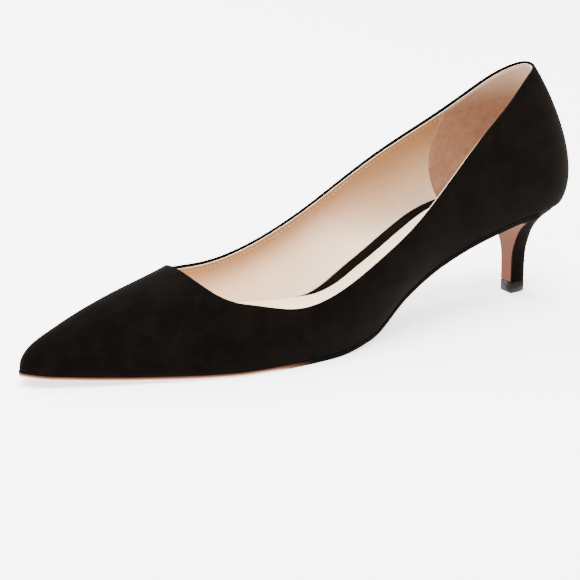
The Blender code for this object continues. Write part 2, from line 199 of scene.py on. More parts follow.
def level(places: np.ndarray, heights: np.ndarray, at: np.ndarray) -> np.ndarray:
    """Run a curve through a table that never overshoots it.

    Args:
        places: The table's places, rising.
        heights: The value at each place.
        at: Where to read the curve.

    Returns:
        The Hermite curve whose slope at each row is the harmonic mean of its neighbours' slopes, or nought
        where they differ in sign, so that equal rows stay flat.
    """
    steps = np.diff(places)
    rises = np.diff(heights) / steps
    slopes = np.zeros(len(places))
    before = 2 * steps[1:] + steps[:-1]
    after = steps[1:] + 2 * steps[:-1]
    alike = rises[:-1] * rises[1:] > 0
    first = np.where(alike, rises[:-1], 1)
    second = np.where(alike, rises[1:], 1)
    slopes[1:-1] = np.where(alike, (before + after) / (before / first + after / second), 0)
    slopes[0] = rises[0]
    slopes[-1] = rises[-1]
    k = np.clip(np.searchsorted(places, at) - 1, 0, len(places) - 2)
    share = (at - places[k]) / steps[k]
    ends = heights[k] * (1 + 2 * share) * (1 - share) ** 2 + heights[k + 1] * share**2 * (3 - 2 * share)
    lean = slopes[k] * share * (1 - share) ** 2 + slopes[k + 1] * share**2 * (share - 1)
    return ends + steps[k] * lean


def quarter_round(share: np.ndarray) -> np.ndarray:
    """Return the height of a quarter of an ellipse at a share of its run."""
    return np.sqrt(1 - (1 - np.clip(share, 0, 1)) ** 2)


def unit(vectors: np.ndarray) -> np.ndarray:
    """Return the vectors at length one."""
    return vectors / np.linalg.norm(vectors, axis=-1, keepdims=True)


def ease(value: np.ndarray) -> np.ndarray:
    """Return the smooth step from 0 to 1 of a value held between 0 and 1."""
    held = np.clip(value, 0, 1)
    return held**2 * (3 - 2 * held)


def grid_faces(rows: int, steps: int, start: int = 0, flip: bool = False) -> np.ndarray:
    """Return the four-sided faces of a grid of points.

    Args:
        rows: How many rows the grid has.
        steps: How many points each row has.
        start: The number of the grid's first point.
        flip: Whether the faces look the other way.

    Returns:
        Four point numbers for each face: a point, the next on its row, and the same two a row on.
    """
    first = (np.arange(rows - 1)[:, None] * steps + np.arange(steps - 1)).ravel() + start
    faces = np.stack([first, first + 1, first + steps + 1, first + steps], 1)
    return faces[:, ::-1] if flip else faces


class MeshParts:
    """Grids that are gathered into one mesh."""

    def __init__(self) -> None:
        """Start with no grid."""
        self.points: list[np.ndarray] = []
        self.faces: list[np.ndarray] = []
        self.marks: list[np.ndarray] = []
        self.count = 0

    def add(self, grid: np.ndarray, flip: bool = False, mark: float | np.ndarray = 0.0) -> None:
        """Add one grid.

        Args:
            grid: The points, by row and step.
            flip: Whether the faces look the other way.
            mark: A number for each point, which a finish may read.
        """
        rows, steps = grid.shape[:2]
        self.faces.append(grid_faces(rows, steps, self.count, flip))
        self.points.append(grid.reshape(-1, 3))
        self.marks.append(np.broadcast_to(mark, grid.shape[:2]).ravel())
        self.count += rows * steps

    def mesh(self, name: str) -> bpy.types.Mesh:
        """Weld the points that grids share and make the mesh.

        Args:
            name: The mesh's name.

        Returns:
            A smooth mesh whose points closer than the weld are one, without faces that have no area.
        """
        points = np.concatenate(self.points)
        marks = np.concatenate(self.marks)
        faces = np.concatenate(self.faces)
        keys = np.round(points / WELD).astype(np.int64)
        _, first, back = np.unique(keys, axis=0, return_index=True, return_inverse=True)
        faces = back.reshape(-1)[faces]
        same = faces == np.roll(faces, -1, axis=1)
        full = faces[~same.any(1)]
        once = same.sum(1) == 1
        short = faces[once]
        kept = np.where(~same[once])
        triangles = short[kept].reshape(-1, 3)
        mesh = bpy.data.meshes.new(name)
        mesh.from_pydata(points[first].tolist(), [], full.tolist() + triangles.tolist())
        mesh.attributes.new("mark", "FLOAT", "POINT").data.foreach_set("value", marks[first])
        mesh.polygons.foreach_set("use_smooth", np.ones(len(mesh.polygons), dtype=bool))
        mesh.update()
        return mesh


def placed(name: str, parts: MeshParts, slot: str, finish: "Suede | Leather | HardRubber",
           *nodes: str) -> bpy.types.Object:
    """Make a piece of the shoe from its grids.

    Args:
        name: The piece's name.
        parts: Its grids, already in place.
        slot: The record's material slot that it belongs to; not used.
        finish: What it is made of.
        *nodes: The CAD nodes that it stands for.

    Returns:
        The piece, riding on the shoe's one body.
    """
    mesh = parts.mesh(name)
    mesh.materials.append(finish.material())
    piece = bpy.data.objects.new(name, mesh)
    bpy.context.scene.collection.objects.link(piece)
    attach(piece, "root")
    if nodes:
        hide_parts(*nodes)
    LOG.info("%s: %d points, %d faces", name, len(mesh.vertices), len(mesh.polygons))
    return piece


@dataclass(frozen=True)
class ShoeSizes:
    """The sizes that every piece of the shoe is worked out from."""

    length: float = 261.8 * MM
    ball_width: float = 75.0 * MM
    heel_rise: float = 39.0 * MM
    back_height: float = 101.0 * MM
    seat_back: float = 4.0 * MM
    seat_round: float = 24.5 * MM
    toe_round: float = 10.0 * MM
    seat_fan: float = 23.5 * MM
    toe_fan: float = 10.0 * MM
    throat: float = 0.74
    sole: float = 2.0 * MM
    insole: float = 2.8 * MM
    sock: float = 1.0 * MM
    gap: float = 0.3 * MM
    breast_front: float = 29.3 * MM
    stem_centre: float = 1.0 * MM
    top_piece: float = 5.0 * MM
    top_piece_back: float = 20.4 * MM
    top_piece_half: float = 3.7 * MM


@dataclass(frozen=True)
class Opening:
    """The edge of the opening, lowered all round by a drop and widened by as much at the throat.

    The lean makes the drop smaller on the outer side and larger on the inner one, between seat and throat.
    """

    drop: float
    lean: float = 0.0
    reach: float = 14.0 * MM


class Last:
    """The form that the upper is drawn over, as a surface of turn and share."""

    SAMPLES = 601
    STEP = 1e-3
    SEAT_BLEND = 0.4
    THROAT_NEAR = 0.02
    TIP_CROWD = 3
    TIP_RUN = 6 * MM
    EDGE_SOFT = 0.08
    SIDE_SHARE = 0.6

    def __init__(self, sizes: ShoeSizes) -> None:
        """Read where the CAD model has its middle.

        Args:
            sizes: The shoe's sizes.
        """
        self.sizes = sizes
        low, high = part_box("top_piece")
        self.middle = np.array([low.x + sizes.breast_front, (low.y + high.y) / 2 + sizes.stem_centre])

    def in_row(self, points: np.ndarray) -> np.ndarray:
        """Turn points from shoe axes, along and across, to the row frame."""
        flat = self.middle - points[..., :2]
        return np.concatenate([flat, points[..., 2:]], -1)

    def column(self, name: str, along: np.ndarray) -> np.ndarray:
        """Return one column of the section table at the given lengths, as a share."""
        run = level if name == "ground" else bend
        return run(SECTIONS.column("along"), SECTIONS.column(name), np.asarray(along) / self.sizes.length)

    def ground(self, along: np.ndarray) -> np.ndarray:
        """Return the height of the ground side of the sole."""
        return self.sizes.heel_rise * self.column("ground", along)

    def ridge(self, along: np.ndarray) -> np.ndarray:
        """Return the height on which the sections close."""
        return self.sizes.back_height * self.column("ridge", along)

    def swing(self, along: np.ndarray) -> np.ndarray:
        """Return the swing of the middle line to the outer side."""
        share = bend(SWINGS.column("along"), SWINGS.column("swing"), along / self.sizes.length)
        return self.sizes.ball_width * share

    def outer_part(self, turn: np.ndarray) -> np.ndarray:
        """Return 1 on the outer side and 0 on the inner one, with a soft step at the middle of the seat."""
        return ease(0.5 + turn / self.SEAT_BLEND)

    def by_side(self, turn: np.ndarray, name: str, along: np.ndarray) -> np.ndarray:
        """Return a column of the section table that the outer and the inner side have each of their own."""
        inner = self.column("inner" + name, along)
        return inner + (self.column("outer" + name, along) - inner) * self.outer_part(turn)

    def along_of(self, turn: np.ndarray) -> np.ndarray:
        """Return the place along the shoe of a turn: half a cosine from the seat to the toe."""
        sizes = self.sizes
        return sizes.seat_back + (sizes.length - sizes.seat_back) * (1 - np.cos(turn)) / 2

    def half_width(self, turn: np.ndarray) -> np.ndarray:
        """Return the half width of the feather edge, rounded off at the seat and at the toe."""
        sizes = self.sizes
        along = self.along_of(turn)
        width = sizes.ball_width * self.by_side(turn, "", along)
        seat = quarter_round((along - sizes.seat_back) / sizes.seat_round)
        return width * seat * quarter_round((sizes.length - along) / sizes.toe_round)

    def foot_of(self, along: np.ndarray) -> np.ndarray:
        """Return where on the middle line the section plane of an edge point stands."""
        from_seat = along - self.sizes.seat_back
        from_toe = self.sizes.length - along
        shift = np.hypot(from_seat, self.sizes.seat_fan) - from_seat
        return along + shift - (np.hypot(from_toe, self.sizes.toe_fan) - from_toe)

    def plane(self, turn: np.ndarray) -> tuple[np.ndarray, np.ndarray, np.ndarray]:
        """Return each section plane: its foot, its way outward and the reach of the feather edge."""
        along = self.along_of(turn)
        side = np.where(turn > 0, Side.OUTER.value, Side.INNER.value)
        foot = np.stack([self.foot_of(along), self.swing(self.foot_of(along))], -1)
        edge = np.stack([along, side * self.half_width(turn) + self.swing(along)], -1)
        reach = np.linalg.norm(edge - foot, axis=-1)
        return foot, (edge - foot) / reach[..., None], reach

    def controls(self, turn: np.ndarray) -> list[np.ndarray]:
        """Return the four control points, as reach and height, of the section curve at each turn.

        The first is the feather edge, the second stands out by the swell at the fullest height, the third
        lies on the ridge's own slope at the shoulder, and the last is on the ridge.
        """
        sizes = self.sizes
        along = self.along_of(turn)
        foot, way, reach = self.plane(turn)
        low = self.ground(along) + sizes.sole + sizes.gap
        top = self.ridge(foot[..., 0])
        step = sizes.length / self.SAMPLES
        slope = (self.ridge(foot[..., 0] + step) - self.ridge(foot[..., 0] - step)) / (2 * step)
        shoulder = sizes.ball_width * self.column("shoulder", foot[..., 0])
        swell = sizes.ball_width * self.by_side(turn, "_swell", along)
        full = low + (top - low) * self.column("fullness", along)
        return [
            np.stack([reach, low], -1),
            np.stack([reach + swell, full], -1),
            np.stack([shoulder, top + slope * way[..., 0] * shoulder], -1),
            np.stack([np.zeros_like(top), top], -1),
        ]

    def curve(self, turn: np.ndarray, share: np.ndarray) -> np.ndarray:
        """Return reach and height at a share of the cubic section curve at each turn."""
        first, second, third, last = self.controls(turn)
        u = share[..., None]
        inner = 3 * second * u * (1 - u) ** 2 + 3 * third * u**2 * (1 - u)
        return first * (1 - u) ** 3 + inner + last * u**3

    def point(self, turn: np.ndarray, share: np.ndarray) -> np.ndarray:
        """Return the point of the outside at each turn and share, in shoe axes."""
        foot, way, _ = self.plane(turn)
        curve = self.curve(turn, share)
        return np.concatenate([foot + way * curve[..., :1], curve[..., 1:]], -1)

    def normal(self, turn: np.ndarray, share: np.ndarray) -> np.ndarray:
        """Return the way out of the surface.

        It is the cross product of the two slopes, at length one, and is read a little below the ridge at
        the very tip, where the slopes fall together.
        """
        step = self.STEP
        share = np.where(np.abs(turn) > np.pi - step, np.minimum(share, 1 - 2 * step), share)
        around = self.wrapped(turn + step, share) - self.wrapped(turn - step, share)
        low = np.clip(share - step, 0, 1)
        high = np.clip(share + step, 0, 1)
        upward = self.point(turn, high) - self.point(turn, low)
        return unit(np.cross(upward, around))

    def wrapped(self, turn: np.ndarray, share: np.ndarray) -> np.ndarray:
        """Return the point at a turn that may run past the toe onto the other side."""
        return self.point((turn + np.pi) % (2 * np.pi) - np.pi, share)

    def opening_height(self, turn: np.ndarray, along: np.ndarray, opening: Opening) -> np.ndarray:
        """Return the height of the opening's edge at a place along the shoe.

        The topline's own curve is lowered by the drop over the cosine of its slope, and moved by the drop
        towards the toe close to the throat.
        """
        sizes = self.sizes
        end = sizes.throat * sizes.length
        near = opening.drop * np.exp(-(((end - along) / opening.reach) ** 2))
        lean = opening.lean * np.sin(turn) * ease((end - along) / (2 * opening.reach))
        places = np.append(TOPLINE.column("along"), sizes.throat)
        last = self.column("ridge", np.array(end))
        step = sizes.length / self.SAMPLES
        result = np.zeros_like(along)
        for side in Side:
            heights = sizes.back_height * np.append(TOPLINE.column(side.name.lower()), last)
            height = bend(places, heights, (along - near) / sizes.length)
            ahead = bend(places, heights, (along - near + step) / sizes.length)
            slope = (ahead - height) / step
            lowered = height - (opening.drop - lean) * np.sqrt(1 + slope**2)
            part = self.outer_part(turn)
            result = result + lowered * (part if side is Side.OUTER else 1 - part)
        return result

    def throat_turn(self, opening: Opening) -> float:
        """Return the turn at which the opening's edge reaches the ridge."""
        turn = np.linspace(np.pi / 2, np.pi - self.STEP, 20 * self.SAMPLES)
        foot = self.foot_of(self.along_of(turn))
        over = self.opening_height(turn, foot, opening) - self.ridge(foot)
        near = foot > (self.sizes.throat - self.THROAT_NEAR) * self.sizes.length
        k = np.flatnonzero(near & (over >= 0))[0]
        part = over[k - 1] / (over[k - 1] - over[k])
        return float(turn[k - 1] + np.clip(part, 0, 1) * (turn[k] - turn[k - 1]))

    def stop(self, turn: np.ndarray, opening: Opening, throat: float) -> np.ndarray:
        """Return the share at which each section curve meets the opening's edge, or 1 past the throat."""
        flat = turn.ravel()[:, None]
        share = np.linspace(0, 1, self.SAMPLES)[None]
        points = self.point(flat + 0 * share, share + 0 * flat)
        over = points[..., 2] - self.opening_height(flat + 0 * share, points[..., 0], opening)
        crossed = (over[:, :-1] < 0) & (over[:, 1:] >= 0)
        k = np.argmax(crossed, axis=1)
        row = np.arange(len(flat))
        part = over[row, k] / (over[row, k] - over[row, k + 1])
        found = share[0, k] + part * (share[0, k + 1] - share[0, k])
        open_here = (np.abs(flat[:, 0]) < throat - NEAR) & crossed.any(1)
        return np.where(open_here, found, 1.0).reshape(turn.shape)

    def stations(self, throat: float, behind: int, ahead: int) -> np.ndarray:
        """Return turns all round the outline from -pi to pi.

        Behind the throat the run from it goes as the square of the step at first, so that the edge of the
        opening is evenly cut where it swings across. Ahead of it the steps are even, and closer at the tip.

        Args:
            throat: The turn of the throat.
            behind: How many steps lie between seat and throat.
            ahead: How many lie between throat and toe.

        Returns:
            The turns, the same on both sides.
        """
        turn = np.linspace(0, np.pi, 20 * self.SAMPLES)
        along = self.along_of(turn)
        width = (self.half_width(turn) + self.half_width(-turn)) / 2
        crowd = 1 + self.TIP_CROWD * np.exp(-(((self.sizes.length - along) / self.TIP_RUN) ** 2))
        steps = np.hypot(np.diff(along), np.diff(width)) * (crowd[1:] + crowd[:-1]) / 2
        run = np.append(0, np.cumsum(steps))
        stop = np.interp(throat, turn, run)
        left = np.linspace(1, 0, behind + 1)
        back = stop * (1 - left**2 / (left + self.EDGE_SOFT) * (1 + self.EDGE_SOFT))
        front = np.linspace(stop, run[-1], ahead + 1)[1:]
        half = np.interp(np.append(back, front), run, turn)
        half[behind] = throat
        half[0] = 0.0
        half[-1] = np.pi
        return np.append(-half[:0:-1], half)

    def inside_reach(self, turn: np.ndarray, height: np.ndarray, inset: float) -> np.ndarray:
        """Return how far out a piece inside the wall may reach at a height.

        Args:
            turn: The turns.
            height: A height for each of them.
            inset: How far the piece stays inside the outside of the wall.

        Returns:
            The reach of the section curve, moved in by the inset square to the wall, read at the height.
        """
        share = np.linspace(0, self.SIDE_SHARE, self.SAMPLES)
        curve = self.curve(turn[:, None] + 0 * share, share + 0 * turn[:, None])
        lean = np.gradient(curve[..., 0], axis=1) / np.gradient(curve[..., 1], axis=1)
        reach = curve[..., 0] - inset * np.sqrt(1 + lean**2)
        k = np.clip((curve[..., 1] < height[:, None]).sum(1), 1, len(share) - 1)
        row = np.arange(len(turn))
        low, high = curve[row, k - 1, 1], curve[row, k, 1]
        part = np.clip((height - low) / (high - low), 0, 1)
        return reach[row, k - 1] + part * (reach[row, k] - reach[row, k - 1])


class Shader:
    """A small helper that strings nodes together in one material."""

    def __init__(self, name: str) -> None:
        """Start a material with its Principled shader."""
        self.material = bpy.data.materials.new(name)
        self.material.use_nodes = True
        self.tree = self.material.node_tree
        self.principled = self.tree.nodes["Principled BSDF"]
        self.place = self.tree.nodes.new("ShaderNodeTexCoord").outputs["Object"]

    def link(self, source: bpy.types.NodeSocket, target: bpy.types.NodeSocket) -> None:
        """Join two sockets."""
        self.tree.links.new(source, target)

    def set(self, **values: float | tuple[float, ...]) -> None:
        """Set sockets of the shader by name, with underscores for spaces."""
        for name, value in values.items():
            self.principled.inputs[name.replace("_", " ")].default_value = value

    def node(self, kind: str, output: str,
             **inputs: bpy.types.NodeSocket | float | tuple[float, ...]) -> bpy.types.NodeSocket:
        """Add a node.

        Args:
            kind: The node's type, without its first two words.
            output: The name of the wanted output.
            **inputs: A value or an output for each named input, with underscores for spaces.

        Returns:
            The wanted output.
        """
        node = self.tree.nodes.new("ShaderNode" + kind)
        for name, value in inputs.items():
            target = node.inputs[name.replace("_", " ")]
            if isinstance(value, bpy.types.NodeSocket):
                self.link(value, target)
            else:
                target.default_value = value
        return node.outputs[output]

    def noise(self, scale: float, detail: float, stretch: tuple[float, float, float] = (1, 1, 1),
              roughness: float = 0.5, warp: float = 0.0) -> bpy.types.NodeSocket:
        """Return cloudy noise of a scale per metre on the piece's own place.

        Args:
            scale: How many waves there are in a metre.
            detail: How many finer layers are added.
            stretch: A factor on each axis before the noise.
            roughness: How strong the finer layers are.
            warp: How far the noise bends itself.

        Returns:
            The noise, about 0 to 1.
        """
        place = self.node("Mapping", "Vector", Vector=self.place, Scale=stretch)
        return self.node("TexNoise", "Fac", Vector=place, Scale=scale, Detail=detail, Roughness=roughness,
                         Distortion=warp)

    def cells(self, scale: float) -> bpy.types.NodeSocket:
        """Return the distance to the edges of cells of a scale per metre."""
        distance = self.node("TexVoronoi", "Distance", Vector=self.place, Scale=scale)
        distance.node.feature = "DISTANCE_TO_EDGE"
        return distance

    def mark(self) -> bpy.types.NodeSocket:
        """Return the number that the mesh keeps for each point."""
        mark = self.node("Attribute", "Fac")
        mark.node.attribute_name = "mark"
        return mark

    def between(self, value: bpy.types.NodeSocket, span: tuple[float, float],
                to: tuple[float, float] = (0.0, 1.0)) -> bpy.types.NodeSocket:
        """Stretch a value from one span to another, held at its ends."""
        return self.node("MapRange", "Result", Value=value, From_Min=span[0], From_Max=span[1],
                         To_Min=to[0], To_Max=to[1])

    def total(self, first: bpy.types.NodeSocket, second: bpy.types.NodeSocket) -> bpy.types.NodeSocket:
        """Add two values."""
        node = self.tree.nodes.new("ShaderNodeMath")
        node.operation = "ADD"
        self.link(first, node.inputs[0])
        self.link(second, node.inputs[1])
        return node.outputs[0]

    def mix(self, part: bpy.types.NodeSocket, first: tuple[float, ...] | bpy.types.NodeSocket,
            second: tuple[float, ...]) -> bpy.types.NodeSocket:
        """Mix a colour into another by a part from 0 to 1."""
        node = self.tree.nodes.new("ShaderNodeMix")
        node.data_type = "RGBA"
        self.link(part, node.inputs["Factor"])
        if isinstance(first, tuple):
            node.inputs["A"].default_value = (*first, 1)
        else:
            self.link(first, node.inputs["A"])
        node.inputs["B"].default_value = (*second, 1)
        return node.outputs["Result"]

    def bump(self, height: bpy.types.NodeSocket, distance: float, strength: float) -> bpy.types.NodeSocket:
        """Turn a height into a relief of a distance in metres."""
        return self.node("Bump", "Normal", Height=height, Distance=distance, Strength=strength)

    def finish(self, colour: bpy.types.NodeSocket, roughness: bpy.types.NodeSocket,
               relief: bpy.types.NodeSocket) -> bpy.types.Material:
        """Join colour, roughness and relief to the shader and return the material."""
        self.link(colour, self.principled.inputs["Base Color"])
        self.link(roughness, self.principled.inputs["Roughness"])
        self.link(relief, self.principled.inputs["Normal"])
        return self.material


@dataclass(frozen=True)
class Suede:
    """Short-napped suede: fine fibres, brushed patches that lie lighter or darker, and a soft sheen."""

    name: str
    deep: tuple[float, float, float] = (0.0010, 0.0007, 0.0005)
    brushed: tuple[float, float, float] = (0.0034, 0.0024, 0.0017)
    sheen: tuple[float, float, float] = (0.50, 0.38, 0.30)
    sheen_weight: float = 0.022
    fibre: float = 5200.0
    patch: float = 95.0
    relief: float = 0.07 * MM
    # pale: a painted highlight, a lighter colour that the mark mixes in where light falls on the nap.
    pale: tuple[float, float, float] | None = None

    STRAND_STRETCH = (1.0, 2.6, 1.0)
    PATCH_STRETCH = (1.0, 1.5, 1.0)
    STRAND_PART = 1 / 6
    PATCH_SPAN = (0.35, 0.70)
    PATCH_TO = (0.0, 0.6)
    STRAND_SPAN = (0.30, 0.70)
    STRAND_TO = (0.0, 0.4)
    ROUGH_SPAN = (0.20, 0.80)
    ROUGH_TO = (0.86, 1.00)

    def material(self) -> bpy.types.Material:
        """Return the suede's material."""
        shader = Shader(self.name)
        fibre = shader.noise(self.fibre, 3.0, roughness=0.7)
        strands = shader.noise(self.fibre * self.STRAND_PART, 4.0, self.STRAND_STRETCH,
                               roughness=0.65, warp=0.6)
        patch = shader.noise(self.patch, 3.0, self.PATCH_STRETCH, warp=0.8)
        patches = shader.between(patch, self.PATCH_SPAN, self.PATCH_TO)
        lie = shader.total(patches, shader.between(strands, self.STRAND_SPAN, self.STRAND_TO))
        colour = shader.mix(lie, self.deep, self.brushed)
        # Painted highlight: the mark mixes in the pale colour.
        if self.pale:
            colour = shader.mix(shader.between(shader.mark(), (0.0, 1.0)), colour, self.pale)
        rough = shader.between(strands, self.ROUGH_SPAN, self.ROUGH_TO)
        relief = shader.bump(shader.total(fibre, strands), self.relief, 0.8)
        shader.set(Specular_IOR_Level=0.02, Sheen_Weight=self.sheen_weight, Sheen_Roughness=0.45,
                   Sheen_Tint=(*self.sheen, 1))
        return shader.finish(colour, rough, relief)


@dataclass(frozen=True)
class Leather:
    """Smooth leather: pores and a fine pebble, faint clouds of colour, and a worn gloss."""

    name: str
    base: tuple[float, float, float]
    cloud: tuple[float, float, float]
    edge: tuple[float, float, float] | None = None
    gloss: float = 0.48
    coat: float = 0.06
    grain: float = 1500.0
    clouds: float = 60.0
    relief: float = 0.035 * MM
    stretch: tuple[float, float, float] = (1.0, 1.0, 1.0)
    # The stain colour serves two marks: a real stained edge on the sole, and painted shade on the lining's
    # inside.
    stain_and_shade: tuple[float, float, float] = (0.0012, 0.0009, 0.0007)
    shine: float = 0.4
    stain_and_shade_shine: float = 0.02

    CLOUD_SPAN = (0.30, 0.75)
    FLECK_SPAN = (0.45, 0.85)
    FLECK_TO = (0.0, 0.45)
    PEBBLE_SPAN = (0.0, 0.25)
    PORE_PART = 2.3
    PORE_SPAN = (0.30, 0.62)
    ROUGH_SPAN = (0.30, 0.80)
    ROUGH_BELOW = 0.06
    ROUGH_ABOVE = 0.14

    def material(self) -> bpy.types.Material:
        """Return the leather's material."""
        shader = Shader(self.name)
        cloud = shader.noise(self.clouds, 4.0, self.stretch, warp=0.5)
        fleck = shader.noise(self.grain, 2.0, self.stretch, roughness=0.6)
        colour = shader.mix(shader.between(cloud, self.CLOUD_SPAN), self.base, self.cloud)
        fine = shader.between(fleck, self.FLECK_SPAN, self.FLECK_TO)
        colour = shader.mix(fine, colour, self.cloud)
        if self.edge:
            colour = shader.mix(shader.between(shader.mark(), (0.0, 1.0)), colour, self.edge)
            # Negative marks mix in the stain colour: a real dark-stained edge on the sole, painted shade
            # under the topline on the lining.
            colour = shader.mix(shader.between(shader.mark(), (0.0, -1.0)), colour, self.stain_and_shade)
            dull = shader.between(shader.mark(), (-1.0, 0.0), (self.stain_and_shade_shine, self.shine))
            shader.link(dull, shader.principled.inputs["Specular IOR Level"])
        pebble = shader.between(shader.cells(self.grain), self.PEBBLE_SPAN)
        pores = shader.between(shader.noise(self.grain * self.PORE_PART, 1.0), self.PORE_SPAN)
        relief = shader.bump(shader.total(pebble, pores), self.relief, 0.6)
        rough_to = (self.gloss - self.ROUGH_BELOW, self.gloss + self.ROUGH_ABOVE)
        rough = shader.between(fleck, self.ROUGH_SPAN, rough_to)
        shader.set(Specular_IOR_Level=self.shine, Coat_Weight=self.coat, Coat_Roughness=0.35)
        return shader.finish(colour, rough, relief)


@dataclass(frozen=True)
class HardRubber:
    """Matt moulded rubber with a fine dimple and scuffs."""

    name: str
    base: tuple[float, float, float]
    scuff: tuple[float, float, float]

    SCUFF_STRETCH = (1.0, 1.0, 3.0)
    SCUFF_SPAN = (0.50, 0.80)
    ROUGH_SPAN = (0.30, 0.70)
    ROUGH_TO = (0.42, 0.62)

    def material(self) -> bpy.types.Material:
        """Return the rubber's material."""
        shader = Shader(self.name)
        scuff = shader.noise(420.0, 5.0, self.SCUFF_STRETCH, roughness=0.7)
        dimple = shader.noise(3800.0, 2.0)
        colour = shader.mix(shader.between(scuff, self.SCUFF_SPAN), self.base, self.scuff)
        rough = shader.between(scuff, self.ROUGH_SPAN, self.ROUGH_TO)
        relief = shader.bump(dimple, 0.03 * MM, 0.5)
        shader.set(Specular_IOR_Level=0.25)
        return shader.finish(colour, rough, relief)


@dataclass(frozen=True)
class Finishes:
    """Every finish of the shoe."""

    suede: Suede = Suede("black suede")
    heel_suede: Suede = Suede("heel suede")
    insole_suede: Suede = Suede("insole cover", brushed=(0.0034, 0.0024, 0.0018), sheen=(0.5, 0.4, 0.3))
    # The grip's pale colour is a painted highlight, lighter towards its top.
    grip: Suede = Suede(
        "heel grip", deep=(0.27, 0.145, 0.090), brushed=(0.36, 0.210, 0.138), sheen=(0.9, 0.75, 0.6),
        sheen_weight=0.06, fibre=2200.0, patch=260.0, relief=0.08 * MM, pale=(0.60, 0.44, 0.32),
    )
    # The lining's stain colour is painted shade: a darker tan under the topline, deepest towards the back.
    lining: Leather = Leather(
        "lining leather", (0.85, 0.63, 0.44), (0.80, 0.57, 0.37), edge=(0.80, 0.60, 0.42),
        stain_and_shade=(0.30, 0.145, 0.053), stain_and_shade_shine=0.3,
    )
    sock: Leather = Leather(
        "sock leather", (0.84, 0.65, 0.45), (0.79, 0.58, 0.38), edge=(0.86, 0.70, 0.54),
    )
    outsole: Leather = Leather(
        "sole leather", (0.152, 0.056, 0.027), (0.128, 0.045, 0.022), edge=(0.82, 0.73, 0.66), gloss=0.6,
        coat=0.0, grain=1100.0, clouds=45.0, relief=0.02 * MM, stretch=(1.0, 1.0, 2.5), shine=0.15,
    )
    thread: Leather = Leather(
        "thread", (0.62, 0.44, 0.28), (0.52, 0.36, 0.22), gloss=0.6, coat=0.0, grain=4000.0,
    )
    rubber: HardRubber = HardRubber("hard rubber", (0.014, 0.011, 0.009), (0.034, 0.028, 0.023))


